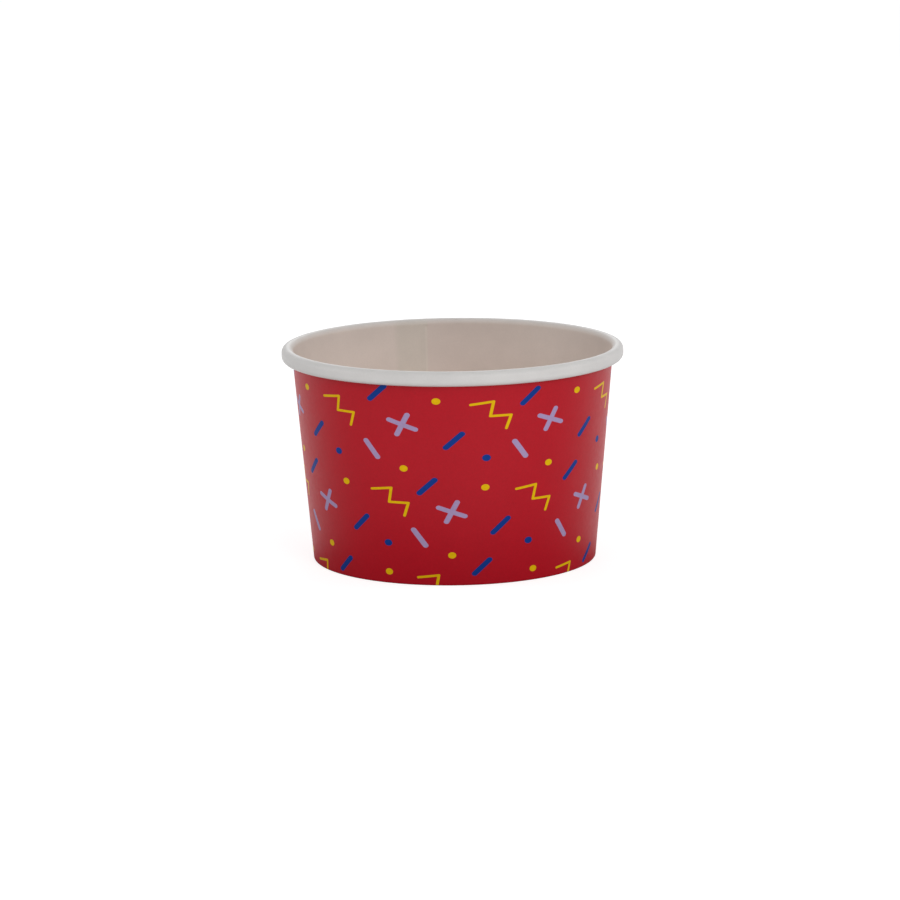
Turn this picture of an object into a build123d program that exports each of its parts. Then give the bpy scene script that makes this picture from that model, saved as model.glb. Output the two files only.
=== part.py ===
from build123d import *
import os
from math import asin, atan2, cos, degrees, hypot, radians, sin, sqrt, tan

# A small paper bowl made of two pieces of coated board. The side wall is one sheet wrapped into
# a cone: its straight edges lap in an upright seam, its top is curled outwards into a rolled rim,
# and its foot is folded in and up to hem the turned-down skirt of the base disc.
# The origin is the centre of the foot, on the plane that the bowl stands on, with +Z up.

# Overall sizes, in millimetres
rim_diameter = 96.0
foot_diameter = 79.9
height = 60.6

# Board and the film of sealant between two sealed faces
wall_board = 0.40
base_board = 0.30
seal_gap = 0.05

# Rolled rim: an upright oval of one full turn, with the sheet's cut edge tucked up inside it
roll_width = 3.25
roll_height = 4.1

# Hem: how far the folded foot reaches up inside the base
hem_height = 5.0

# Base disc: the height of its underside above the foot, and the room below its skirt
base_recess = 6.2
skirt_clearance = 0.15

# Lapped seam: the inner edge's place round the bowl, in degrees from +X, and its sizes at the foot
seam_azimuth = 99.3
lap_width = 7.0
step_length = 2.2
edge_clearance = 0.15

# Sizes worked out from those above
rim_radius = rim_diameter / 2
foot_radius = foot_diameter / 2
half_wall = wall_board / 2
half_base = base_board / 2
fold_radius = half_wall
roll_top_radius = roll_width / 2 - half_wall
layer_step = wall_board + seal_gap
roll_bottom = height - roll_height
sandwich = wall_board + base_board + 2 * seal_gap

# The wall's middle line is the tangent that crosses from the outer side of the foot's fold
# to the inner side of the rim's upper arc.
foot_fold_centre = Vector(foot_radius - half_wall - fold_radius, half_wall + fold_radius)
roll_top_centre = Vector(rim_radius - half_wall - roll_top_radius, height - half_wall - roll_top_radius)
centre_line = roll_top_centre - foot_fold_centre
centre_distance = hypot(centre_line.X, centre_line.Y)
turned_radii = fold_radius + roll_top_radius
wall_run = sqrt(centre_distance**2 - turned_radii**2)
wall_heading = degrees(atan2(centre_line.Y, centre_line.X) + asin(turned_radii / centre_distance))
wall_rise = sin(radians(wall_heading))
wall_slope = 1 / tan(radians(wall_heading))
wall_foot = foot_fold_centre + fold_radius * Vector(wall_rise, -cos(radians(wall_heading)))


def wall_radius(level):
    """Radius of the wall's middle line at a height above the foot."""
    return wall_foot.X + (level - wall_foot.Y) * wall_slope


def sheet_section(start, heading, moves, board):
    """Section of a board whose middle line follows straight runs and round bends.

    A move is a run, (length,), or a bend, (middle radius, turn in degrees, left positive).
    A bend whose middle radius is half the board is a fold, creased sharp on its inner face.
    """
    half = board / 2
    point = Vector(start.X, start.Y)
    edges = []
    caps = []
    for move in moves:
        left = Vector(-sin(radians(heading)), cos(radians(heading)))
        if not caps:
            caps.append(Line(point - half * left, point + half * left))
        if len(move) == 1:
            step = move[0] * Vector(cos(radians(heading)), sin(radians(heading)))
            for side in (half, -half):
                edges.append(Line(point + side * left, point + side * left + step))
            point = point + step
        else:
            radius, turn = move
            hand = 1 if turn > 0 else -1
            centre = point + hand * radius * left
            first_angle = heading - hand * 90
            face_radii = [radius + side for side in (half, -half) if radius + side > 0]
            edges += [CenterArc(centre, face_radius, first_angle, turn) for face_radius in face_radii]
            heading = heading + turn
            point = centre - hand * radius * Vector(-sin(radians(heading)), cos(radians(heading)))
    left = Vector(-sin(radians(heading)), cos(radians(heading)))
    caps.append(Line(point - half * left, point + half * left))
    return make_face(edges + caps)


def upright(section, azimuth):
    """Stand a section on its foot in the half plane at an azimuth."""
    return Rot(Z=azimuth) * (Plane.XZ * section)


def polar(radius, azimuth):
    """Point of a plan at a radius and an azimuth."""
    return Vector(radius * cos(radians(azimuth)), radius * sin(radians(azimuth)))


# Section of the side wall, from the top of the hem round the foot, up the wall and into the roll
fold_land = (sandwich - 2 * fold_radius) / wall_rise
hem_fold_centre = foot_fold_centre - Vector(fold_land, 0)
hem_foot = hem_fold_centre - fold_radius * Vector(wall_rise, -cos(radians(wall_heading)))
hem_run = (hem_height - hem_foot.Y) / wall_rise
hem_top = Vector(hem_foot.X + hem_run * cos(radians(wall_heading)), hem_height)

rim_leg_radius = rim_radius - half_wall
roll_low_level = roll_bottom + half_wall
roll_low_reach = rim_leg_radius - wall_radius(roll_low_level) - layer_step / wall_rise
roll_low_radius = roll_low_reach / (1 + wall_rise + wall_slope * (1 + cos(radians(wall_heading))))
rim_leg_run = roll_top_centre.Y - roll_low_level - roll_low_radius

wall_moves = [
    (hem_run,),
    (fold_radius, 180 - wall_heading),
    (fold_land,),
    (fold_radius, wall_heading),
    (wall_run,),
    (roll_top_radius, -90 - wall_heading),
    (rim_leg_run,),
    (roll_low_radius, wall_heading - 270),
]
wall_section = sheet_section(hem_top, wall_heading - 180, wall_moves, wall_board)

# Angles of the lapped seam. The sheet's inner edge stands at the seam's azimuth, and the sheet that
# comes round to it steps out by one layer, passes over it and ends in the outer edge.
lap_angle = degrees(lap_width / foot_radius)
step_angle = degrees(step_length / foot_radius)
clearance_angle = degrees(edge_clearance / foot_radius)
step_top_azimuth = seam_azimuth + clearance_angle
step_foot_azimuth = step_top_azimuth + step_angle
outer_edge_azimuth = seam_azimuth - lap_angle
lap_low = wall_foot.Y
lap_high = roll_bottom


def lap_plan(level):
    """Plan of the stepped-out sheet at a height: the step, then the layer over the inner edge."""
    inner = wall_radius(level) - half_wall / wall_rise
    outer = wall_radius(level) + half_wall / wall_rise
    step_out = layer_step / wall_rise
    sweep = outer_edge_azimuth - step_top_azimuth
    edges = [Line(polar(inner, step_foot_azimuth), polar(outer, step_foot_azimuth))]
    for radius in (inner, outer):
        edges.append(Line(polar(radius, step_foot_azimuth), polar(radius + step_out, step_top_azimuth)))
        edges.append(CenterArc((0, 0), radius + step_out, step_top_azimuth, sweep))
    outer_edge = [polar(radius + step_out, outer_edge_azimuth) for radius in (inner, outer)]
    edges.append(Line(*outer_edge))
    return Plane.XY.offset(level) * make_face(edges)


def make_side_wall():
    """The wrapped sheet: a turn of the whole section, the lap, and the rim and hem butted at the seam."""
    inside = sandwich / wall_rise / 2
    lap_window = make_face(
        Polyline(
            (wall_radius(lap_low) - inside, lap_low),
            (rim_radius, lap_low),
            (rim_radius, lap_high),
            (wall_radius(lap_high) - inside, lap_high),
            close=True,
        )
    )
    turn = revolve(upright(wall_section, step_foot_azimuth), Axis.Z, 360 - clearance_angle - step_angle)
    butted = revolve(upright(wall_section - lap_window, step_top_azimuth), Axis.Z, step_angle)
    lap = loft([lap_plan(lap_low), lap_plan(lap_high)], ruled=True)
    return turn + butted + lap


def make_base_disc():
    """A round blank with its margin turned down, so that it stands between the wall and the hem."""
    disc_level = base_recess + half_base
    skirt_inset = half_wall + seal_gap + base_board
    disc_radius = wall_radius(base_recess) - skirt_inset / wall_rise
    skirt_top = base_recess - half_base * cos(radians(wall_heading))
    skirt_run = (skirt_top - wall_board - skirt_clearance) / wall_rise
    moves = [(disc_radius,), (half_base, wall_heading - 180), (skirt_run,)]
    section = sheet_section(Vector(0, disc_level), 0, moves, base_board)
    return revolve(upright(section, seam_azimuth), Axis.Z, 360)


os.makedirs("parts", exist_ok=True)
export_step(make_side_wall(), "parts/side_wall.step")
export_step(make_base_disc(), "parts/base_disc.step")
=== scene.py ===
from math import asin, atan2, cos, pi, radians, sin, sqrt, tan

import bpy
import numpy as np
from bpy.props import FloatProperty, FloatVectorProperty, IntProperty, PointerProperty
from mathutils import Matrix, Vector


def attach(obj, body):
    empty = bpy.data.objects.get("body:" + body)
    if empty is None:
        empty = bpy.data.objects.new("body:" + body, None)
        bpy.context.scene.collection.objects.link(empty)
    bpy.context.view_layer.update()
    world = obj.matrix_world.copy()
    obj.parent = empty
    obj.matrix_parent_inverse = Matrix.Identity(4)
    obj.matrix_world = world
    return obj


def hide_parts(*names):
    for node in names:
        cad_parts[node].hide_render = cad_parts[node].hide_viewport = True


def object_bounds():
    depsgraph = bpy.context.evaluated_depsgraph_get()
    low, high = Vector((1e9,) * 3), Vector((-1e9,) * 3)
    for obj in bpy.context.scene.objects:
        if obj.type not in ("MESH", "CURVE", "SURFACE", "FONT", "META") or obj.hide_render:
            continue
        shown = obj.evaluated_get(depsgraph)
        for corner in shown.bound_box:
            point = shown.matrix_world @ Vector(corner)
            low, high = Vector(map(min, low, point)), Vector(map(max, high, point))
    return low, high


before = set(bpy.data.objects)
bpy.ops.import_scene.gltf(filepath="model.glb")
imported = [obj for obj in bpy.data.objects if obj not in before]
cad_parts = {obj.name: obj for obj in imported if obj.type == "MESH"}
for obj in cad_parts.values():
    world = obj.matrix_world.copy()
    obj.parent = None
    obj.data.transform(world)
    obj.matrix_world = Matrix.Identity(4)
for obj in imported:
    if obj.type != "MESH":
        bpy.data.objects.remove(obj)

bl_info = {
    "name": "Printed paper bowl",
    "version": (1, 0, 0),
    "blender": (4, 5, 0),
    "location": "3D View > Sidebar > Bowl",
    "description": "Dresses a two-piece paper bowl: the wrapped and printed side wall, and the base disc",
    "category": "Add Mesh",
}

MM = 0.001
FULL_TURN = 2 * pi
CAD_LOW, CAD_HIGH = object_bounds()
WHITE = (1.0, 1.0, 1.0, 1.0)


# Properties that a user can change

def number(name, description, default, **limits):
    """A plain number, or one with limits and a unit."""
    return FloatProperty(name=name, description=description, default=default, precision=5, **limits)


def length(name, description, default):
    """A length in metres."""
    return number(name, description, default, min=0.0, unit="LENGTH")


def angle(name, description, default):
    """An angle, given here in degrees."""
    return number(name, description, radians(default), unit="ROTATION")


def share(name, description, default):
    """A share from 0 to 1."""
    return number(name, description, default, min=0.0, max=1.0, subtype="FACTOR")


def power(name, description, default):
    """Watts of a lamp."""
    return number(name, description, default, min=0.0, unit="POWER")


def colour(name, description, default):
    """A linear colour."""
    return FloatVectorProperty(
        name=name, description=description, default=default, size=3, min=0.0, max=1.0, subtype="COLOR"
    )


class BowlSizes(bpy.types.PropertyGroup):
    """Sizes of the bowl's two boards. Those that the solid model has too are the same there, but for
    the rounder folds and the closer inner edge."""

    rim_diameter: length("Rim diameter", "Across the rolled rim", CAD_HIGH.x - CAD_LOW.x)
    foot_diameter: length("Foot diameter", "Across the wall at the foot", 79.9 * MM)
    height: length("Height", "From the foot to the top of the rim", CAD_HIGH.z - CAD_LOW.z)
    wall_board: length("Wall board", "Thickness of the side wall", 0.40 * MM)
    base_board: length("Base board", "Thickness of the base disc", 0.30 * MM)
    seal_gap: length("Seal gap", "Film of sealant between two sealed faces", 0.05 * MM)
    fold_radius: length("Fold radius", "Middle radius of the two folds at the foot", 0.24 * MM)
    roll_width: length("Roll width", "Width of the rolled rim", 3.25 * MM)
    roll_height: length("Roll height", "Height of the rolled rim", 4.1 * MM)
    hem_height: length("Hem height", "Reach of the folded foot up inside the base", 5.0 * MM)
    base_recess: length("Base recess", "Height of the base's underside above the foot", 6.2 * MM)
    margin_radius: length("Margin radius", "Middle radius of the bend at the base's margin", 0.16 * MM)
    skirt_clearance: length("Skirt clearance", "Room below the base's skirt", 0.15 * MM)
    seam_azimuth: angle("Seam azimuth", "Place of the sheet's inner edge, from +X", 99.3)
    lap_width: length("Lap width", "How far the sheet laps over its inner edge", 7.0 * MM)
    step_length: length("Step length", "Length of the step out to the lap", 2.2 * MM)
    edge_clearance: length("Edge clearance", "Room between the inner edge and the step", 0.01 * MM)
    skive_length: length("Skive length", "How far the inner edge is pressed thin over the step", 2.0 * MM)
    skive_edge: length("Skive edge", "Thickness of the board at the end of its skive", 0.02 * MM)
    lap_trim: length("Lap trim", "How far the lap's lower corner is trimmed above the foot", 1.0 * MM)
    knurl_count: IntProperty(
        name="Knurl count", description="Ribs that the hem's roller presses", default=100, min=0
    )
    knurl_depth: length("Knurl depth", "Half height of the hem's ribs", 0.07 * MM)


class BowlColours(bpy.types.PropertyGroup):
    """Colours of the boards and inks."""

    red: colour("Red", "Ground of the print", (0.431, 0.0024, 0.0116))
    yellow: colour("Yellow", "Dots and zigzags", (0.745, 0.470, 0.002))
    blue: colour("Blue", "Bars and dots", (0.0050, 0.040, 0.238))
    lilac: colour("Lilac", "Bars and crosses", (0.382, 0.284, 0.482))
    white: colour("White", "Coated face of the board", (0.640, 0.625, 0.612))
    base: colour("Base", "Coated face of the base disc", (0.740, 0.725, 0.710))
    # Glow and deep glow are painted light: the warm light that comes through the printed wall, painted into
    # the inside's colour, lighter further down
    glow: colour("Glow", "Inside near the rim, warmed by the print behind it", (0.602, 0.519, 0.469))
    deep_painted_glow: colour("Deep glow", "Inside further down", (0.796, 0.684, 0.616))
    pulp: colour("Pulp", "Cut edge of the board", (0.640, 0.590, 0.520))


class BowlStage(bpy.types.PropertyGroup):
    """Camera and light."""

    camera_elevation: angle("Elevation", "Camera's angle above the horizon", 10.9225)
    camera_distance: length("Distance", "From the camera to the bowl's middle", 1084.7 * MM)
    camera_roll: angle("Roll", "Camera's turn about its own axis", -0.675)
    focal_share: number("Focal share", "Focal length over the picture's width", 4.26745)
    shift_x: number("Shift x", "Share of the picture's width", -0.00401)
    shift_y: number("Shift y", "Share of the picture's width", -0.00065)
    world_level: share("World level", "Light from all round", 0.55)
    key_watts: power("Key", "Soft lamp in front", 4.7)
    left_watts: power("Left", "Soft lamp at the left", 2.6)
    right_watts: power("Right", "Soft lamp at the right", 2.35)
    back_watts: power("Back", "Soft lamp behind", 2.0)
    card_watts: power("Card", "What the low card in front sends back", 0.165)
    floor_colour: share("Floor colour", "How much light the floor sends back", 0.60)
    floor_shade: share("Floor shade", "How much of that it sends back close to the foot", 0.78)
    shade_start: length("Shade start", "Radius where the floor close to the foot is darkest", 41 * MM)
    shade_end: length("Shade end", "Radius where the floor has its full colour", 115 * MM)
    floor_light: share("Floor light", "How much light falls on the open floor", 0.53)
    mirror_shift: length("Mirror shift", "How far in front of the bowl the mirrored floor is dark", 32 * MM)
    mirror_start: length("Mirror start", "Radius from there where the mirrored floor is darkest", 46 * MM)
    mirror_end: length("Mirror end", "Radius from there where the mirrored floor is white", 76 * MM)


# Nodes

# Sockets of a Mix node that mixes colours
MIX_FACTOR = 0
MIX_FIRST = 6
MIX_SECOND = 7
MIX_RESULT = 2


def add_node(tree, kind, inputs=(), **settings):
    """Add a node with its settings, and set or link its inputs by place or by name."""
    node = tree.nodes.new(kind)
    for name, value in settings.items():
        setattr(node, name, value)
    pairs = inputs.items() if isinstance(inputs, dict) else enumerate(inputs)
    for place, value in pairs:
        if isinstance(value, bpy.types.NodeSocket):
            tree.links.new(value, node.inputs[place])
        else:
            node.inputs[place].default_value = value
    return node


def maths(tree, operation, *values):
    """Result of a sum on numbers."""
    return add_node(tree, "ShaderNodeMath", values, operation=operation).outputs[0]


def vector_maths(tree, operation, *values):
    """Result of a sum on vectors."""
    node = add_node(tree, "ShaderNodeVectorMath", values, operation=operation)
    return node.outputs["Value" if operation in {"DOT_PRODUCT", "LENGTH"} else "Vector"]


def map_range(tree, value, low, high, to_low, to_high, kind="LINEAR"):
    """A number carried from one range to another, and held at its ends."""
    inputs = (value, low, high, to_low, to_high)
    return add_node(tree, "ShaderNodeMapRange", inputs, interpolation_type=kind).outputs[0]


def mix_colour(tree, factor, first, second, blend="MIX"):
    """Mix of two colours."""
    inputs = {MIX_FACTOR: factor, MIX_FIRST: first, MIX_SECOND: second}
    node = add_node(tree, "ShaderNodeMix", inputs, data_type="RGBA", blend_type=blend)
    return node.outputs[MIX_RESULT]


def new_group(name, kind, inputs, outputs):
    """A node group with its sockets, as (tree, its inputs by name, its output node)."""
    tree = bpy.data.node_groups.new(name, kind)
    for in_out, sockets in (("INPUT", inputs), ("OUTPUT", outputs)):
        for socket, socket_kind in sockets.items():
            tree.interface.new_socket(socket, in_out=in_out, socket_type="NodeSocket" + socket_kind)
    given = tree.nodes.new("NodeGroupInput").outputs
    return tree, given, tree.nodes.new("NodeGroupOutput")


# Boards: a middle line is walked as runs and bends, and wrapped round the bowl's axis

# Straight pieces in each zone of the two middle lines
WALL_PIECES = {
    "hem": 8, "inner_fold": 6, "land": 1, "outer_fold": 6, "foot": 2,
    "lap": 10, "neck": 4, "roll_top": 15, "leg": 1, "roll_low": 12,
}
BASE_PIECES = {"disc": 10, "margin": 6, "skirt": 4}

# Columns of points round the bowl, and how many of their spaces the lap and the skive take
WALL_COLUMNS = 625
LAP_COLUMNS = 17
SKIVE_COLUMNS = 7
BASE_COLUMNS = 241

# Faces of the lap and the skive are trimmed away where their mean share is below these
LAP_FACE_SHARE = 0.99
SKIVE_FACE_SHARE = 0.1
MERGE_DISTANCE = 0.001 * MM
TRAVEL_SLACK = 0.001 * MM
SHARP_ANGLE = radians(40)

# Material slots of a board's inner face and its cut edges, after that of its outer face
INNER_SLOT = 1
EDGE_SLOT = 2


class Section:
    """Middle line of a board in the plane of radius and height, walked as runs and bends."""

    def __init__(self, radius, level, heading, pieces):
        self.pieces = pieces
        self.points = [(radius, level, heading, 0.0)]
        self.marks = {}

    def walk(self, zone, distance, turn=0.0):
        """Go a distance while turning, left positive, and mark the zone's start and end."""
        radius, level, heading, travel = self.points[-1]
        bit = turn / self.pieces[zone]
        step = distance / self.pieces[zone]
        chord = step if bit == 0 else 2 * step / bit * sin(bit / 2)
        self.marks[zone] = (travel, travel + distance)
        for _ in range(self.pieces[zone]):
            radius += chord * cos(heading + bit / 2)
            level += chord * sin(heading + bit / 2)
            heading += bit
            travel += step
            self.points.append((radius, level, heading, travel))

    def bend(self, zone, radius, turn):
        """Go round a bend of a middle radius."""
        self.walk(zone, radius * abs(turn), turn)


class WallLine:
    """The side wall's middle line: the tangent from the foot's fold across to the rim's upper arc."""

    def __init__(self, sizes):
        self.half = sizes.wall_board / 2
        self.fold = sizes.fold_radius
        self.roll_top = sizes.roll_width / 2 - self.half
        fold_reach = self.half + self.fold
        roll_reach = self.half + self.roll_top
        self.fold_centre = Vector((sizes.foot_diameter / 2 - fold_reach, fold_reach))
        self.roll_centre = Vector((sizes.rim_diameter / 2 - roll_reach, sizes.height - roll_reach))
        across = self.roll_centre - self.fold_centre
        turned = self.fold + self.roll_top
        self.run = sqrt(across.length_squared - turned**2)
        self.heading = atan2(across.y, across.x) + asin(turned / across.length)
        self.rise = sin(self.heading)
        self.slope = 1 / tan(self.heading)
        self.normal = Vector((self.rise, -cos(self.heading)))
        self.foot = self.fold_centre + self.fold * self.normal

    def radius_at(self, level):
        """Radius of the middle line at a height."""
        return self.foot.x + (level - self.foot.y) * self.slope


def side_wall_section(sizes):
    """From the top of the hem, round the foot, up the wall and round the rolled rim."""
    line = WallLine(sizes)
    sandwich = sizes.wall_board + sizes.base_board + 2 * sizes.seal_gap
    land = (sandwich - 2 * line.fold) / line.rise
    hem_foot = line.fold_centre - Vector((land, 0)) - line.fold * line.normal
    hem_run = (sizes.hem_height - hem_foot.y) / line.rise
    hem_radius = hem_foot.x + hem_run * cos(line.heading)
    roll_bottom = sizes.height - sizes.roll_height
    low_level = roll_bottom + line.half
    layer_step = sizes.wall_board + sizes.seal_gap
    reach = sizes.rim_diameter / 2 - line.half - line.radius_at(low_level) - layer_step / line.rise
    roll_low = reach / (1 + line.rise + line.slope * (1 + cos(line.heading)))
    leg = line.roll_centre.y - low_level - roll_low
    foot_stretch = (sizes.lap_trim - line.foot.y) / line.rise
    lap_stretch = (roll_bottom - sizes.lap_trim) / line.rise

    section = Section(hem_radius, sizes.hem_height, line.heading - pi, WALL_PIECES)
    section.walk("hem", hem_run)
    section.bend("inner_fold", line.fold, pi - line.heading)
    section.walk("land", land)
    section.bend("outer_fold", line.fold, line.heading)
    section.walk("foot", foot_stretch)
    section.walk("lap", lap_stretch)
    section.walk("neck", line.run - foot_stretch - lap_stretch)
    section.bend("roll_top", line.roll_top, -pi / 2 - line.heading)
    section.walk("leg", leg)
    section.bend("roll_low", roll_low, line.heading - 3 * pi / 2)
    return section


def base_disc_section(sizes):
    """From the middle of the disc out to its margin, and down the skirt."""
    line = WallLine(sizes)
    half = sizes.base_board / 2
    level = sizes.base_recess + half
    bend_level = level - sizes.margin_radius
    inset = line.half + sizes.seal_gap + half
    skirt_radius = line.radius_at(bend_level) - inset / line.rise
    disc_radius = skirt_radius - sizes.margin_radius / line.rise
    skirt_top = bend_level + sizes.margin_radius * line.normal.y
    skirt_foot = sizes.wall_board + sizes.skirt_clearance

    section = Section(0.0, level, 0.0, BASE_PIECES)
    section.walk("disc", disc_radius)
    section.bend("margin", sizes.margin_radius, line.heading - pi)
    section.walk("skirt", (skirt_top - skirt_foot) / line.rise)
    return section


def smooth_step(values):
    """Ease between 0 and 1."""
    held = np.clip(values, 0.0, 1.0)
    return held * held * (3 - 2 * held)


def section_mesh(name, section, shares):
    """The section as a row of points that carry heading, travel and shares for the wrapping tree."""
    rows = np.array(section.points)
    mesh = bpy.data.meshes.new(name)
    places = [(radius, 0.0, level) for radius, level in rows[:, :2]]
    mesh.from_pydata(places, [(i, i + 1) for i in range(len(rows) - 1)], [])
    for attribute, values in {"heading": rows[:, 2], "travel": rows[:, 3], **shares}.items():
        layer = mesh.attributes.new(attribute, "FLOAT", "POINT")
        layer.data.foreach_set("value", np.asarray(values, np.float32))
    return mesh


def wrapping_tree():
    """Wraps a section round the bowl's axis, with a lap at its start, a skive that goes on past its end,
    and ribs where it is knurled. Each point is stored with its share of the board's thickness."""
    counts = ("Columns", "Lap Columns", "Skive Columns", "Knurl Count")
    sweeps = ("Start", "Sweep", "Lap Sweep", "Skive Sweep", "Step Sweep")
    sizes = ("Step Out", "Thickness", "Skive Share", "Knurl Depth")
    inputs = {"Section": "Geometry", "Board": "Material"}
    inputs |= dict.fromkeys(counts, "Int") | dict.fromkeys(sweeps + sizes, "Float")
    tree, given, result = new_group("wrap_board", "GeometryNodeTree", inputs, {"Board": "Geometry"})
    tree.is_modifier = True

    # A grid with a row for each point of the section
    domain = add_node(tree, "GeometryNodeAttributeDomainSize", {"Geometry": given["Section"]})
    rows = domain.outputs["Point Count"]
    last_row = maths(tree, "SUBTRACT", rows, 1)
    last_column = maths(tree, "SUBTRACT", given["Columns"], 1)
    grid = (last_column, last_row, given["Columns"], rows)
    board = add_node(tree, "GeometryNodeMeshGrid", grid).outputs["Mesh"]
    place = add_node(tree, "GeometryNodeInputPosition").outputs[0]
    parts = add_node(tree, "ShaderNodeSeparateXYZ", (place,)).outputs
    column = maths(tree, "MULTIPLY_ADD", last_column, 0.5, parts[0])
    row = maths(tree, "ROUND", maths(tree, "MULTIPLY_ADD", last_row, 0.5, parts[1]))

    def stored(name):
        """A stored value of a point, or the mean of a face's corners."""
        node = add_node(tree, "GeometryNodeInputNamedAttribute", {"Name": name}, data_type="FLOAT")
        return node.outputs["Attribute"]

    def of_row(value, data_type="FLOAT"):
        """A value of this row's section point."""
        inputs = {"Geometry": given["Section"], "Value": value, "Index": row}
        return add_node(tree, "GeometryNodeSampleIndex", inputs, data_type=data_type).outputs[0]

    section_parts = add_node(tree, "ShaderNodeSeparateXYZ", (of_row(place, "FLOAT_VECTOR"),)).outputs
    heading = of_row(stored("heading"))

    # Turn of each column: over the lap, round the bowl, and past the inner edge
    over = map_range(tree, column, 0.0, given["Lap Columns"], 0.0, given["Lap Sweep"])
    rest = maths(tree, "SUBTRACT", given["Sweep"], given["Lap Sweep"])
    edge_column = maths(tree, "SUBTRACT", last_column, given["Skive Columns"])
    round_bowl = map_range(tree, column, given["Lap Columns"], edge_column, 0.0, rest)
    past_edge = map_range(tree, column, edge_column, last_column, 0.0, given["Skive Sweep"])
    turned = maths(tree, "ADD", maths(tree, "ADD", over, round_bowl), past_edge)
    azimuth = maths(tree, "ADD", turned, given["Start"])

    # How far each point lies outside the section: the lap's layer, the ribs and the thinned skive
    step_end = maths(tree, "ADD", given["Lap Sweep"], given["Step Sweep"])
    stepped = map_range(tree, turned, given["Lap Sweep"], step_end, 1.0, 0.0, "SMOOTHSTEP")
    lap_height = maths(tree, "MULTIPLY", of_row(stored("lap")), given["Step Out"])
    lap_out = maths(tree, "MULTIPLY", stepped, lap_height)
    ribs = maths(tree, "SINE", maths(tree, "MULTIPLY", azimuth, given["Knurl Count"]))
    rib_height = maths(tree, "MULTIPLY", of_row(stored("knurl")), given["Knurl Depth"])
    knurl = maths(tree, "MULTIPLY", ribs, rib_height)
    thinned = map_range(
        tree, past_edge, 0.0, given["Skive Sweep"], 1.0, given["Skive Share"], "SMOOTHSTEP"
    )
    column_sweep = maths(tree, "DIVIDE", given["Skive Sweep"], given["Skive Columns"])
    pressed = map_range(tree, past_edge, 0.0, column_sweep, 1.0, of_row(stored("skive")))
    thickness = maths(tree, "MAXIMUM", maths(tree, "MULTIPLY", thinned, pressed), given["Skive Share"])
    half_lost = maths(tree, "MULTIPLY", maths(tree, "SUBTRACT", thickness, 1.0), 0.5)
    flush = maths(tree, "MULTIPLY", half_lost, given["Thickness"])
    out = maths(tree, "ADD", maths(tree, "ADD", lap_out, knurl), flush)

    radius = maths(tree, "MULTIPLY_ADD", out, maths(tree, "SINE", heading), section_parts[0])
    drop = maths(tree, "MULTIPLY", out, maths(tree, "COSINE", heading))
    level = maths(tree, "SUBTRACT", section_parts[2], drop)
    across = maths(tree, "MULTIPLY", radius, maths(tree, "COSINE", azimuth))
    along = maths(tree, "MULTIPLY", radius, maths(tree, "SINE", azimuth))
    wrapped = add_node(tree, "ShaderNodeCombineXYZ", (across, along, level)).outputs[0]

    # The lap and the skive keep their faces only between the foot and the rim
    in_lap = maths(tree, "LESS_THAN", stored("turned"), given["Lap Sweep"])
    beyond_lap = maths(tree, "LESS_THAN", stored("over"), LAP_FACE_SHARE)
    in_skive = maths(tree, "GREATER_THAN", stored("turned"), given["Sweep"])
    beyond_skive = maths(tree, "LESS_THAN", stored("skive"), SKIVE_FACE_SHARE)
    lap_corner = maths(tree, "MULTIPLY", in_lap, beyond_lap)
    skive_corner = maths(tree, "MULTIPLY", in_skive, beyond_skive)
    corner = maths(tree, "MAXIMUM", lap_corner, skive_corner)

    kept = {
        "azimuth": azimuth,
        "turned": turned,
        "travel": of_row(stored("travel")),
        "over": of_row(stored("over")),
        "skive": of_row(stored("skive")),
        "thickness": thickness,
    }
    steps = [("StoreNamedAttribute", {"Name": name, "Value": value}, {}) for name, value in kept.items()]
    steps += [
        ("SetPosition", {"Position": wrapped}, {}),
        ("DeleteGeometry", {"Selection": corner}, {"domain": "FACE"}),
        ("MergeByDistance", {"Distance": MERGE_DISTANCE}, {}),
        ("RealizeInstances", {}, {}),
        ("SetMaterial", {"Material": given["Board"]}, {}),
    ]
    for kind, values, settings in steps:
        inputs = {"Geometry": board, **values}
        board = add_node(tree, "GeometryNode" + kind, inputs, **settings).outputs[0]
    tree.links.new(board, result.inputs[0])
    return tree


def evaluated_mesh(piece):
    """The piece's mesh with its modifiers applied."""
    bpy.context.view_layer.update()
    graph = bpy.context.evaluated_depsgraph_get()
    return bpy.data.meshes.new_from_object(
        piece.evaluated_get(graph), preserve_all_data_layers=True, depsgraph=graph
    )


def wrap_piece(name, mesh, values, thickness, materials):
    """A board wrapped by the tree and then given its thickness, with materials for its outer face,
    its inner face and its cut edges. Returns the piece and the number of points on one face."""
    piece = bpy.data.objects.new(name, mesh)
    bpy.context.scene.collection.objects.link(piece)
    tree = bpy.data.node_groups.get("wrap_board") or wrapping_tree()
    wrap = piece.modifiers.new("wrap", "NODES")
    wrap.node_group = tree
    for item in tree.interface.items_tree:
        if item.in_out == "INPUT" and item.name in values:
            wrap[item.identifier] = values[item.name]
    sheet = evaluated_mesh(piece)
    piece.modifiers.clear()
    piece.data = sheet
    count = len(sheet.vertices)
    shares = np.empty(count, np.float32)
    sheet.attributes["thickness"].data.foreach_get("value", shares)
    group = piece.vertex_groups.new(name="thickness")
    group.add(list(range(count)), 1.0, "REPLACE")
    for point in np.flatnonzero(shares < 1.0):
        group.add([int(point)], float(shares[point]), "REPLACE")

    for material in materials[1:]:
        sheet.materials.append(material)
    board = piece.modifiers.new("board", "SOLIDIFY")
    board.thickness = thickness
    board.vertex_group = group.name
    board.offset = 0.0
    board.use_even_offset = True
    board.use_quality_normals = True
    board.material_offset = INNER_SLOT
    board.material_offset_rim = EDGE_SLOT
    solid = evaluated_mesh(piece)
    piece.modifiers.clear()
    piece.vertex_groups.clear()
    piece.data = solid
    solid.name = name
    solid.shade_smooth()
    solid.set_sharp_from_angle(angle=SHARP_ANGLE)
    return piece, count


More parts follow.
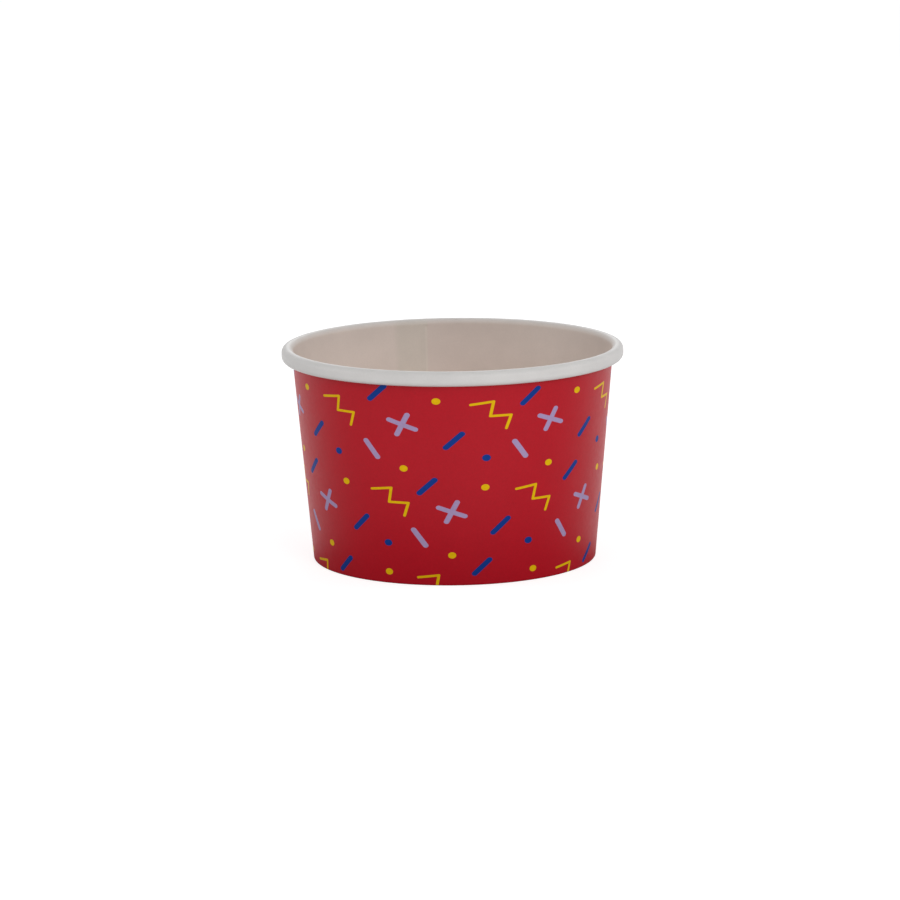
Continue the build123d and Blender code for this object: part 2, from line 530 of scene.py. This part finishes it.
def corner_points(mesh):
    """The point of each face corner."""
    points = np.empty(len(mesh.loops), np.int32)
    mesh.loops.foreach_get("vertex_index", points)
    return points


def corner_values(mesh, attribute):
    """A point attribute's value at each face corner."""
    values = np.empty(len(mesh.vertices), np.float32)
    mesh.attributes[attribute].data.foreach_get("value", values)
    return values[corner_points(mesh)]


def face_values(mesh, name):
    """A whole number that each face has."""
    values = np.empty(len(mesh.polygons), np.int32)
    mesh.polygons.foreach_get(name, values)
    return values


def face_means(mesh, values):
    """Each face's mean of a value at its corners, and how far it spans, again at each corner."""
    starts = face_values(mesh, "loop_start")
    totals = face_values(mesh, "loop_total")
    means = np.add.reduceat(values, starts) / totals
    spans = np.maximum.reduceat(values, starts) - np.minimum.reduceat(values, starts)
    return np.repeat(means, totals), np.repeat(spans, totals)


def add_map(mesh, name, across, along):
    """Add a UV map from two values at each face corner."""
    layer = mesh.uv_layers.new(name=name, do_init=False)
    layer.uv.foreach_set("vector", np.stack([across, along], 1).astype(np.float32).ravel())


# Print: motifs in millimetres, measured round the wall at one radius, and up it. Units of motifs come
# in pairs, and each row of pairs is shifted against the next.

PRINT_RADIUS = 42.19
PRINT_HEIGHT = 60.3
FIRST_DOT = (-4.40, 51.82)
SECOND_UNIT = 41.1
PAIR_PITCH = 84.43
ROW_PITCH = 24.24
ROW_SHIFT = 28.15

# Height of a round motif over its width, and half the width of an ink's soft edge
PRESSED_SHARE = 0.77
INK_EDGE = 0.06

# Radii of dots, and of the round ends of strokes
DOT_RADIUS = 1.15
BLUE_DOT_RADIUS = 1.22
LILAC_BAR_RADIUS = 0.825
BLUE_BAR_RADIUS = 0.87
CROSS_RADIUS = 0.77
ZIGZAG_RADIUS = 0.42

# Places of the motifs in their unit, from its first dot. The high blue bar lies lower in the second unit.
YELLOW_DOTS = ((0.0, 0.0), (-9.30, -18.95))
BLUE_DOT = (13.18, -15.98)
LOW_BLUE_BAR = (4.49, -10.97)
HIGH_BLUE_BAR = (-15.92, 1.87)
HIGH_BLUE_BAR_DROP = 1.45
LILAC_BAR = (-18.44, -14.05)
CROSS = (-9.24, -6.69)
ZIGZAG = (13.93, -4.38)

# Strokes, from the middle of a motif: one end of each bar, and the zigzag's corners
BLUE_BAR_END = (2.14, 1.88)
LILAC_BAR_END = (-1.65, 2.16)
CROSS_ENDS = ((3.60, -1.22), (1.50, 2.74))
ZIGZAG_CORNERS = ((-5.0, 3.3), (1.0, 4.0), (0.2, 0.0), (5.85, 0.0), (4.6, -3.6))


def unpressed(point):
    """A point of a motif before its height is pressed."""
    return Vector((point[0], point[1] / PRESSED_SHARE, 0.0))


def unit_group():
    """Brings a point of the print to the nearest motif of one kind: its place there, unpressed."""
    inputs = {"Point": "Vector", "Place": "Vector", "Second Drop": "Float"}
    tree, given, result = new_group("print_unit", "ShaderNodeTree", inputs, {"Local": "Vector"})
    offset = vector_maths(tree, "SUBTRACT", given["Point"], given["Place"])
    parts = add_node(tree, "ShaderNodeSeparateXYZ", (offset,)).outputs
    row = maths(tree, "ROUND", maths(tree, "DIVIDE", parts[1], ROW_PITCH))
    across = maths(tree, "MULTIPLY_ADD", row, -ROW_SHIFT, parts[0])
    up = maths(tree, "MULTIPLY_ADD", row, -ROW_PITCH, parts[1])
    left = (SECOND_UNIT - PAIR_PITCH) / 2
    wrapped = maths(tree, "WRAP", across, left + PAIR_PITCH, left)
    second = maths(tree, "GREATER_THAN", wrapped, SECOND_UNIT / 2)
    across = maths(tree, "MULTIPLY_ADD", second, -SECOND_UNIT, wrapped)
    up = maths(tree, "MULTIPLY_ADD", second, given["Second Drop"], up)
    up = maths(tree, "DIVIDE", up, PRESSED_SHARE)
    local = add_node(tree, "ShaderNodeCombineXYZ", (across, up, 0.0))
    tree.links.new(local.outputs[0], result.inputs["Local"])
    return tree


def bar_group():
    """Distance from a bar's middle line, which runs as far as End to both sides of Middle."""
    inputs = dict.fromkeys(("Local", "Middle", "End"), "Vector")
    tree, given, result = new_group("print_bar", "ShaderNodeTree", inputs, {"Distance": "Float"})
    offset = vector_maths(tree, "SUBTRACT", given["Local"], given["Middle"])
    along = vector_maths(tree, "DOT_PRODUCT", offset, given["End"])
    whole = vector_maths(tree, "DOT_PRODUCT", given["End"], given["End"])
    held = map_range(tree, maths(tree, "DIVIDE", along, whole), -1.0, 1.0, -1.0, 1.0)
    nearest = add_node(tree, "ShaderNodeVectorMath", {0: given["End"], "Scale": held}, operation="SCALE")
    apart = vector_maths(tree, "SUBTRACT", offset, nearest.outputs[0])
    tree.links.new(vector_maths(tree, "LENGTH", apart), result.inputs["Distance"])
    return tree


def print_colour(tree, colours):
    """Colour of the printed face, the motifs on their ground, and how much a motif covers it."""
    point = add_node(tree, "ShaderNodeUVMap", uv_map="PrintMap").outputs[0]
    unit = unit_group()
    bar = bar_group()
    origin = Vector((*FIRST_DOT, 0.0))

    def local(place, drop=0.0):
        """The point seen from the nearest motif that has this place in its unit."""
        inputs = {"Point": point, "Place": origin + Vector((*place, 0.0)), "Second Drop": drop}
        return add_node(tree, "ShaderNodeGroup", inputs, node_tree=unit).outputs[0]

    def stroke(seen, start, end, radius):
        """Depth outside a round-ended stroke."""
        inputs = {"Local": seen, "Middle": (start + end) / 2, "End": (end - start) / 2}
        distance = add_node(tree, "ShaderNodeGroup", inputs, node_tree=bar).outputs[0]
        return maths(tree, "SUBTRACT", distance, radius)

    def nearest(first, *others):
        """The smallest of several depths."""
        for other in others:
            first = maths(tree, "MINIMUM", first, other)
        return first

    def dot(place, radius):
        """Depth outside a round dot."""
        return maths(tree, "SUBTRACT", vector_maths(tree, "LENGTH", local(place)), radius)

    def bars(place, ends, radius, drop=0.0):
        """Depth outside one or more round-ended bars through the same middle."""
        seen = local(place, drop)
        return nearest(*(stroke(seen, -unpressed(end), unpressed(end), radius) for end in ends))

    def zigzag():
        """Depth outside the zigzag, a line of round-ended strokes."""
        seen = local(ZIGZAG)
        corners = [unpressed(corner) for corner in ZIGZAG_CORNERS]
        return nearest(*(stroke(seen, *ends, ZIGZAG_RADIUS) for ends in zip(corners, corners[1:])))

    yellow = nearest(*(dot(place, DOT_RADIUS) for place in YELLOW_DOTS), zigzag())
    lilac = nearest(
        bars(LILAC_BAR, [LILAC_BAR_END], LILAC_BAR_RADIUS),
        bars(CROSS, CROSS_ENDS, CROSS_RADIUS),
    )
    blue = nearest(
        dot(BLUE_DOT, BLUE_DOT_RADIUS),
        bars(LOW_BLUE_BAR, [BLUE_BAR_END], BLUE_BAR_RADIUS),
        bars(HIGH_BLUE_BAR, [BLUE_BAR_END], BLUE_BAR_RADIUS, HIGH_BLUE_BAR_DROP),
    )
    shade = (*colours.red, 1.0)
    covered = 0.0
    for ink, outside in ((colours.yellow, yellow), (colours.lilac, lilac), (colours.blue, blue)):
        cover = map_range(tree, outside, -INK_EDGE, INK_EDGE, 1.0, 0.0, "SMOOTHSTEP")
        shade = mix_colour(tree, cover, shade, (*ink, 1.0))
        covered = maths(tree, "MAXIMUM", cover, covered)
    return shade, covered


# Materials

# Finishes: roughness and specular level
PRINT_FINISH = (0.43, 0.18)
WHITE_FINISH = (0.48, 0.50)
PULP_FINISH = (0.85, 0.15)
BASE_FINISH = (0.50, 0.25)
FLOOR_FINISH = (1.0, 0.0)

# The print's sheen: its grain, the span of its roughness, and the specular level of the motifs' ink
SHEEN_GRAIN = 1.4 * MM
SHEEN_ROUGHNESS = (0.40, 0.46)
INK_SPECULAR = 0.07

# Patches of each face: their grain, and the least and most that they leave of a colour
PRINT_PATCHES = ((0.6 * MM, 0.95, 1.05), (9 * MM, 0.985, 1.015))
WHITE_PATCHES = ((0.5 * MM, 0.985, 1.015), (6 * MM, 0.98, 1.02))
BASE_PATCHES = ((0.5 * MM, 0.98, 1.02), (7 * MM, 0.98, 1.02))
PULP_PATCHES = ((0.15 * MM, 0.90, 1.06),)

# Span of noise that is carried to the limits of patches and sheen
NOISE_SPAN = (0.3, 0.7)

# Bumps: their grain and strength, and their depth and detail
PRINT_BUMP = (0.6 * MM, 0.06)
WHITE_BUMP = (0.5 * MM, 0.10)
BASE_BUMP = (0.5 * MM, 0.10)
PULP_BUMP = (0.12 * MM, 0.25)
BUMP_DEPTH = 0.05 * MM
BUMP_DETAIL = 3.0

# Painted light on the inside, the warm light that comes through the print: where it fades, as shares of the
# roll's upper arc, and how far below the roll it has its deep colour
PAINTED_GLOW_SHARES = (0.0, 0.45)
PAINTED_GLOW_DEPTH = 20 * MM

# Painted light on the inside by the seam, with its sweeps in radians: painted shade towards the sheet's
# inner edge, a painted highlight in a thin line along that edge, and painted shade in a strip past it
DOUBLE_PAINTED_SHADE = (0.962, 0.945, 0.940)
DOUBLE_FADE = 0.8
EDGE_PAINTED_HIGHLIGHT = (0.985, 1.005, 0.985)
EDGE_LINE = 0.014
EDGE_FADE = 0.006
STRIP_PAINTED_SHADE = (0.93, 0.955, 0.93)
STRIP_SWEEP = 0.213
STRIP_FADE = 0.030


def new_material(name, roughness, specular):
    """A material with its principled shader, as (material, tree, shader)."""
    material = bpy.data.materials.new(name)
    material.use_nodes = True
    tree = material.node_tree
    shader = tree.nodes["Principled BSDF"]
    shader.inputs["Roughness"].default_value = roughness
    shader.inputs["Specular IOR Level"].default_value = specular
    return material, tree, shader


def noise(tree, size, detail=2.0):
    """Noise whose grains have a size in metres."""
    place = add_node(tree, "ShaderNodeTexCoord").outputs["Object"]
    inputs = {"Vector": place, "Scale": 1.0 / size, "Detail": detail}
    return add_node(tree, "ShaderNodeTexNoise", inputs).outputs["Fac"]


def finish_face(tree, shader, shade, patches, bump):
    """Give a face its colour, a little lighter and darker in patches, and its bump."""
    for size, low, high in patches:
        value = map_range(tree, noise(tree, size), *NOISE_SPAN, low, high)
        grey = add_node(tree, "ShaderNodeCombineColor", (value, value, value)).outputs[0]
        shade = mix_colour(tree, 1.0, shade, grey, "MULTIPLY")
    tree.links.new(shade, shader.inputs["Base Color"])
    grain, strength = bump
    height = noise(tree, grain, BUMP_DETAIL)
    inputs = {"Height": height, "Strength": strength, "Distance": BUMP_DEPTH}
    tree.links.new(add_node(tree, "ShaderNodeBump", inputs).outputs[0], shader.inputs["Normal"])


def printed_face(colours):
    """Satin printed face of the side wall, where the motifs' ink is duller than the ground."""
    material, tree, shader = new_material("printed_face", *PRINT_FINISH)
    shade, covered = print_colour(tree, colours)
    gloss = map_range(tree, covered, 0.0, 1.0, PRINT_FINISH[1], INK_SPECULAR)
    tree.links.new(gloss, shader.inputs["Specular IOR Level"])
    sheen = map_range(tree, noise(tree, SHEEN_GRAIN), *NOISE_SPAN, *SHEEN_ROUGHNESS)
    tree.links.new(sheen, shader.inputs["Roughness"])
    finish_face(tree, shader, shade, PRINT_PATCHES, PRINT_BUMP)
    return material


def seam_painted_light(tree, lap_turn, edge_turn):
    """Painted light on the inside by the seam.

    Painted shade: less light comes through towards the sheet's inner edge. Past that edge, behind a thin
    painted highlight, a strip a little wider than the lap is painted less warm.
    """
    turned = add_node(tree, "ShaderNodeAttribute", attribute_name="turned").outputs["Fac"]
    # Painted shade towards the sheet's inner edge
    double_shade = map_range(tree, turned, edge_turn - DOUBLE_FADE, edge_turn, 0.0, 1.0)
    painted_seam_light = mix_colour(tree, double_shade, WHITE, (*DOUBLE_PAINTED_SHADE, 1.0))

    # Painted shade in the strip past the edge
    past_edge = map_range(tree, turned, edge_turn, edge_turn + EDGE_FADE, 0.0, 1.0)
    strip_end = lap_turn + STRIP_SWEEP
    strip_span = (strip_end - STRIP_FADE, strip_end + STRIP_FADE)
    beside = map_range(tree, turned, *strip_span, 1.0, 0.0, "SMOOTHSTEP")
    strip = maths(tree, "MAXIMUM", beside, past_edge)
    painted_seam_light = mix_colour(tree, strip, painted_seam_light, (*STRIP_PAINTED_SHADE, 1.0))

    # Painted highlight in a thin line along the edge
    line_end = edge_turn + EDGE_LINE
    by_edge = map_range(tree, turned, line_end, line_end + EDGE_FADE, 1.0, 0.0)
    line = maths(tree, "MULTIPLY", by_edge, past_edge)
    return mix_colour(tree, line, painted_seam_light, (*EDGE_PAINTED_HIGHLIGHT, 1.0))


def white_face(colours, painted_glow_ends, lap_turn, edge_turn):
    """Coated white face: the rolled rim, and the inside, warmed by painted light from the print behind it.
    """
    material, tree, shader = new_material("white_face", *WHITE_FINISH)
    glow_start, glow_end = painted_glow_ends
    travel = add_node(tree, "ShaderNodeAttribute", attribute_name="travel").outputs["Fac"]
    # Painted light: the inside's colour holds the warm light that comes through the printed wall, lighter
    # further down
    inside = map_range(tree, travel, glow_start, glow_end, 1.0, 0.0)
    deep = map_range(tree, travel, glow_start - PAINTED_GLOW_DEPTH, glow_start, 1.0, 0.0)
    warmed = mix_colour(tree, deep, (*colours.glow, 1.0), (*colours.deep_painted_glow, 1.0))
    shade = mix_colour(tree, inside, (*colours.white, 1.0), warmed)
    # Painted shade and a painted highlight by the seam, on the inside only
    with_seam_light = mix_colour(tree, 1.0, shade, seam_painted_light(tree, lap_turn, edge_turn), "MULTIPLY")
    shade = mix_colour(tree, inside, shade, with_seam_light)
    finish_face(tree, shader, shade, WHITE_PATCHES, WHITE_BUMP)
    return material


def cut_edge(colours):
    """Raw pulp where the board is cut."""
    material, tree, shader = new_material("cut_edge", *PULP_FINISH)
    finish_face(tree, shader, (*colours.pulp, 1.0), PULP_PATCHES, PULP_BUMP)
    return material


def base_face(colours):
    """Plain coated board of the base disc."""
    material, tree, shader = new_material("base_face", *BASE_FINISH)
    finish_face(tree, shader, (*colours.base, 1.0), BASE_PATCHES, BASE_BUMP)
    return material


# Pieces

# Flat layout of the side wall, in shares of the map: two rows of two strips for the printed face, a band
# below them for the white face, and a narrow strip beside them for each cut edge
STRIP_ROWS = 2
STRIPS = STRIP_ROWS * STRIP_ROWS
PRINT_BAND = (0.17, 0.99)
WHITE_BAND = (0.01, 0.155)
FACE_WIDTH = 0.93
EDGE_STRIPS = (0.945, 0.96, 0.975, 0.99)
EDGE_WIDTH = 0.006
MAP_GAP = 0.01

# Least turn, in radians, between the corners of a face that runs round the bowl
LEAST_TURN = 1e-5


def map_side_wall(mesh, count, sweep, whole_travel, height):
    """Two maps: PrintMap follows the print in millimetres, and OFBake lays the sheet out flat."""
    points = corner_points(mesh)
    turned = corner_values(mesh, "turned")
    travel = corner_values(mesh, "travel")
    azimuth = corner_values(mesh, "azimuth")
    places = np.empty(len(mesh.vertices) * 3, np.float32)
    mesh.vertices.foreach_get("co", places)
    level = places[2::3][points]
    add_map(mesh, "PrintMap", (azimuth + pi / 2) * PRINT_RADIUS, level / height * PRINT_HEIGHT)

    slot = np.repeat(face_values(mesh, "material_index"), face_values(mesh, "loop_total"))
    turned_middle, turned_span = face_means(mesh, turned)
    travel_middle, _ = face_means(mesh, travel)
    turned_share = turned / sweep
    travel_share = travel / whole_travel

    strip = np.clip(np.floor(turned_middle / sweep * STRIPS), 0, STRIPS - 1)
    strip_width = FACE_WIDTH / STRIP_ROWS - MAP_GAP
    strip_height = (PRINT_BAND[1] - PRINT_BAND[0]) / STRIP_ROWS - MAP_GAP
    strip_left = MAP_GAP + (strip % STRIP_ROWS) * (strip_width + MAP_GAP)
    strip_foot = PRINT_BAND[0] + (strip // STRIP_ROWS) * (strip_height + MAP_GAP)
    across = strip_left + (turned_share * STRIPS - strip) * strip_width
    along = strip_foot + travel_share * strip_height

    white = slot == INNER_SLOT
    across[white] = MAP_GAP + turned_share[white] * (FACE_WIDTH - 2 * MAP_GAP)
    along[white] = WHITE_BAND[0] + travel_share[white] * (WHITE_BAND[1] - WHITE_BAND[0])

    edge = slot == EDGE_SLOT
    ends = edge & (turned_span > LEAST_TURN)
    sides = edge & ~ends
    inner_face = (points >= count) * EDGE_WIDTH
    end_strip = np.where(travel_middle < whole_travel / 2, *EDGE_STRIPS[:2])
    side_strip = np.where(turned_middle < sweep / 2, *EDGE_STRIPS[2:])
    across[ends] = (end_strip + inner_face)[ends]
    along[ends] = MAP_GAP + turned_share[ends] * (1 - 2 * MAP_GAP)
    across[sides] = (side_strip + inner_face)[sides]
    along[sides] = MAP_GAP + travel_share[sides] * (1 - 2 * MAP_GAP)
    add_map(mesh, "OFBake", across, along)


def wall_shares(section):
    """Shares of each point of the wall's section: how far it steps out in the lap, whether it is kept there,
    how thick it stays in the skive, and how deep it is knurled."""
    travel = np.array(section.points)[:, 3]
    foot_start, foot_end = section.marks["foot"]
    neck_start, neck_end = section.marks["neck"]
    hem_start, hem_end = section.marks["hem"]
    lap = smooth_step((travel - foot_start) / (foot_end - foot_start))
    lap *= smooth_step((neck_end - travel) / (neck_end - neck_start))
    above_trim = travel > foot_end - TRAVEL_SLACK
    piece = (hem_end - hem_start) / section.pieces["hem"]
    ramp_up = [hem_start + piece, hem_start + 2 * piece]
    ramp_down = [hem_end - 2 * piece, hem_end - piece]
    return {
        "lap": lap,
        "over": above_trim & (travel < neck_start + TRAVEL_SLACK),
        "skive": np.where(above_trim, lap, 0.0),
        "knurl": np.interp(travel, ramp_up + ramp_down, [0, 1, 1, 0]),
    }


class BOWL_OT_side_wall(bpy.types.Operator):
    """Wrap the printed sheet into the side wall, with its rolled rim, lapped seam and hem"""

    bl_idname = "bowl.side_wall"
    bl_label = "Side wall"

    def execute(self, context):
        sizes = context.scene.bowl_sizes
        colours = context.scene.bowl_colours
        section = side_wall_section(sizes)
        mesh = section_mesh("wall_section", section, wall_shares(section))

        foot_radius = sizes.foot_diameter / 2
        lap_sweep = (sizes.lap_width + sizes.edge_clearance) / foot_radius
        outer_edge = sizes.seam_azimuth - sizes.lap_width / foot_radius
        sweep = FULL_TURN + sizes.lap_width / foot_radius
        skive_sweep = sizes.skive_length / foot_radius
        roll_start, roll_end = section.marks["roll_top"]
        painted_glow_ends = [roll_start + part * (roll_end - roll_start) for part in PAINTED_GLOW_SHARES]
        printed = printed_face(colours)
        white = white_face(colours, painted_glow_ends, lap_sweep, sweep)
        values = {
            "Columns": WALL_COLUMNS,
            "Lap Columns": LAP_COLUMNS,
            "Skive Columns": SKIVE_COLUMNS,
            "Start": outer_edge - FULL_TURN,
            "Sweep": sweep,
            "Lap Sweep": lap_sweep,
            "Skive Sweep": skive_sweep,
            "Step Sweep": sizes.step_length / foot_radius,
            "Step Out": sizes.wall_board + sizes.seal_gap,
            "Thickness": sizes.wall_board,
            "Skive Share": sizes.skive_edge / sizes.wall_board,
            "Knurl Count": sizes.knurl_count,
            "Knurl Depth": sizes.knurl_depth,
            "Board": printed,
        }
        materials = (printed, white, cut_edge(colours))
        piece, count = wrap_piece("side_wall_board", mesh, values, sizes.wall_board, materials)
        whole_travel = section.points[-1][3]
        map_side_wall(piece.data, count, sweep + skive_sweep, whole_travel, sizes.height)
        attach(piece, "root")
        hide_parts("side_wall")
        return {"FINISHED"}


class BOWL_OT_base_disc(bpy.types.Operator):
    """Turn down the margin of the base disc, which stands between the wall and the hem"""

    bl_idname = "bowl.base_disc"
    bl_label = "Base disc"

    def execute(self, context):
        sizes = context.scene.bowl_sizes
        section = base_disc_section(sizes)
        plain = np.ones(len(section.points))
        none = np.zeros(len(section.points))
        shares = {"lap": none, "over": plain, "skive": plain, "knurl": none}
        mesh = section_mesh("base_section", section, shares)
        face = base_face(context.scene.bowl_colours)
        # The inputs that are left out stay at zero: no lap, no skive and no knurl
        values = {
            "Columns": BASE_COLUMNS,
            "Start": sizes.seam_azimuth,
            "Sweep": FULL_TURN,
            "Thickness": sizes.base_board,
            "Skive Share": 1.0,
            "Board": face,
        }
        piece, _ = wrap_piece("base_disc_board", mesh, values, sizes.base_board, (face, face, face))
        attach(piece, "root")
        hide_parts("base_disc")
        return {"FINISHED"}


# Stage, in metres and degrees

FLOOR_REACH = 8.0
FLOOR_DROP = 0.02 * MM

# Soft lamps: their angle round the bowl from +X, and above the floor
LAMP_ANGLES = {"key": (-67, 20), "left": (180, 20), "right": (0, 20), "back": (90, 25)}
LAMP_SIZE = (0.6, 0.6)
LAMP_DISTANCE = 1.4

CARD_SIZE = (0.50, 0.20)
CARD_START = 0.075
CARD_LIFT = 0.001

SENSOR_WIDTH_MM = 36.0


def make_world(scene, stage):
    """White where it is seen, also in a gloss or glass, and a plain level of light on the object."""
    world = bpy.data.worlds.new("studio")
    world.use_nodes = True
    scene.world = world
    tree = world.node_tree
    rays = add_node(tree, "ShaderNodeLightPath").outputs
    seen = maths(tree, "MAXIMUM", rays["Is Camera Ray"], rays["Is Glossy Ray"])
    seen = maths(tree, "MAXIMUM", seen, rays["Is Transmission Ray"])
    level = map_range(tree, seen, 0.0, 1.0, stage.world_level, 1.0)
    background = tree.nodes["Background"]
    background.inputs["Color"].default_value = WHITE
    tree.links.new(level, background.inputs["Strength"])


def make_floor(scene, stage):
    """A wide pale floor that keeps the bowl's shadow. It glows by what it lacks to be white, but where
    the bowl mirrors it, it is dark in front of the foot."""
    mesh = bpy.data.meshes.new("floor")
    signs = ((-1, -1), (1, -1), (1, 1), (-1, 1))
    corners = [(x * FLOOR_REACH, y * FLOOR_REACH, 0.0) for x, y in signs]
    mesh.from_pydata(corners, [], [(0, 1, 2, 3)])
    floor = bpy.data.objects.new("floor", mesh)
    scene.collection.objects.link(floor)
    floor.location.z = -FLOOR_DROP

    material, tree, shader = new_material("floor", *FLOOR_FINISH)
    place = add_node(tree, "ShaderNodeTexCoord").outputs["Object"]
    apart = vector_maths(tree, "LENGTH", place)
    # Painted shade: the floor's colour is darker close to the foot, standing in for the bowl's shade there
    ramp = map_range(tree, apart, stage.shade_start, stage.shade_end, 0.0, 1.0, "SMOOTHSTEP")
    pale = map_range(tree, ramp, 0.0, 1.0, stage.floor_shade * stage.floor_colour, stage.floor_colour)
    grey = add_node(tree, "ShaderNodeCombineColor", (pale, pale, pale)).outputs[0]
    tree.links.new(grey, shader.inputs["Base Color"])

    rays = add_node(tree, "ShaderNodeLightPath").outputs
    to_camera = maths(tree, "SUBTRACT", 1.0, maths(tree, "MULTIPLY", pale, stage.floor_light))
    # Painted shade in reflections: the mirrored floor is dark in front of the foot
    from_dark = vector_maths(tree, "ADD", place, (0.0, stage.mirror_shift, 0.0))
    away = vector_maths(tree, "LENGTH", from_dark)
    mirror = map_range(tree, away, stage.mirror_start, stage.mirror_end, 0.0, 1.0, "SMOOTHSTEP")
    to_gloss = maths(tree, "MULTIPLY", mirror, 1.0 - stage.floor_colour * stage.floor_light)
    mirrored = maths(tree, "MAXIMUM", rays["Is Glossy Ray"], rays["Is Transmission Ray"])
    glow = maths(tree, "MULTIPLY", rays["Is Camera Ray"], to_camera)
    glow = maths(tree, "MULTIPLY_ADD", mirrored, to_gloss, glow)
    shader.inputs["Emission Color"].default_value = WHITE
    tree.links.new(glow, shader.inputs["Emission Strength"])
    mesh.materials.append(material)


def add_lamp(scene, name, shape, size, watts):
    """A flat lamp of a size in metres."""
    lamp = bpy.data.lights.new(name, "AREA")
    lamp.shape = shape
    lamp.size, lamp.size_y = size
    lamp.energy = watts
    holder = bpy.data.objects.new(name, lamp)
    scene.collection.objects.link(holder)
    return holder


def make_lights(scene, stage, middle):
    """Broad soft lamps on all four sides, and a low card in front that lights the rim from below."""
    for name, (azimuth, elevation) in LAMP_ANGLES.items():
        level = Vector((cos(radians(azimuth)), sin(radians(azimuth)), 0.0))
        towards = level * cos(radians(elevation)) + Vector((0.0, 0.0, sin(radians(elevation))))
        lamp = add_lamp(scene, name, "ELLIPSE", LAMP_SIZE, getattr(stage, name + "_watts"))
        lamp.location = middle + towards * LAMP_DISTANCE
        lamp.rotation_euler = (-towards).to_track_quat("-Z", "Y").to_euler()

    card = add_lamp(scene, "card", "RECTANGLE", CARD_SIZE, stage.card_watts)
    card.location = (0.0, -CARD_START - CARD_SIZE[1] / 2, CARD_LIFT)
    card.rotation_euler = (pi, 0.0, 0.0)
    card.visible_camera = False


def make_camera(scene, stage, middle):
    """Camera in front of the bowl and a little above it."""
    lens = bpy.data.cameras.new("camera")
    lens.sensor_width = SENSOR_WIDTH_MM
    lens.lens = stage.focal_share * lens.sensor_width
    lens.shift_x = stage.shift_x
    lens.shift_y = stage.shift_y
    camera = bpy.data.objects.new("camera", lens)
    back = Vector((0.0, -cos(stage.camera_elevation), sin(stage.camera_elevation)))
    facing = (-back).to_track_quat("-Z", "Y").to_matrix().to_4x4()
    place = Matrix.Translation(middle + back * stage.camera_distance)
    camera.matrix_world = place @ facing @ Matrix.Rotation(stage.camera_roll, 4, "Z")
    scene.collection.objects.link(camera)
    scene.camera = camera


class BOWL_OT_stage(bpy.types.Operator):
    """Set the pale floor, the soft light and the camera"""

    bl_idname = "bowl.stage"
    bl_label = "Stage"

    def execute(self, context):
        scene = context.scene
        stage = scene.bowl_stage
        scene.view_settings.view_transform = "Standard"
        middle = Vector((0.0, 0.0, scene.bowl_sizes.height / 2))
        make_world(scene, stage)
        make_floor(scene, stage)
        make_lights(scene, stage, middle)
        make_camera(scene, stage, middle)
        return {"FINISHED"}


class BOWL_PT_panel(bpy.types.Panel):
    """Lists the bowl's pieces, its stage and their properties"""

    bl_label = "Paper bowl"
    bl_space_type = "VIEW_3D"
    bl_region_type = "UI"
    bl_category = "Bowl"

    def draw(self, context):
        for operator in OPERATORS:
            self.layout.operator(operator.bl_idname)
        for group_name in GROUPS:
            group = getattr(context.scene, group_name)
            box = self.layout.box()
            for name in group.bl_rna.properties.keys():
                if name not in {"rna_type", "name"}:
                    box.prop(group, name)


OPERATORS = (BOWL_OT_side_wall, BOWL_OT_base_disc, BOWL_OT_stage)
GROUPS = {"bowl_sizes": BowlSizes, "bowl_colours": BowlColours, "bowl_stage": BowlStage}
CLASSES = (*GROUPS.values(), *OPERATORS, BOWL_PT_panel)


def register():
    """Add the bowl's properties, operators and panel."""
    for cls in CLASSES:
        bpy.utils.register_class(cls)
    for name, group in GROUPS.items():
        setattr(bpy.types.Scene, name, PointerProperty(type=group))


def unregister():
    """Take them away again."""
    for name in GROUPS:
        delattr(bpy.types.Scene, name)
    for cls in reversed(CLASSES):
        bpy.utils.unregister_class(cls)


def main():
    """Build the bowl and its stage."""
    register()
    bpy.ops.bowl.side_wall()
    bpy.ops.bowl.base_disc()
    bpy.ops.bowl.stage()


if __name__ == "__main__":
    main()
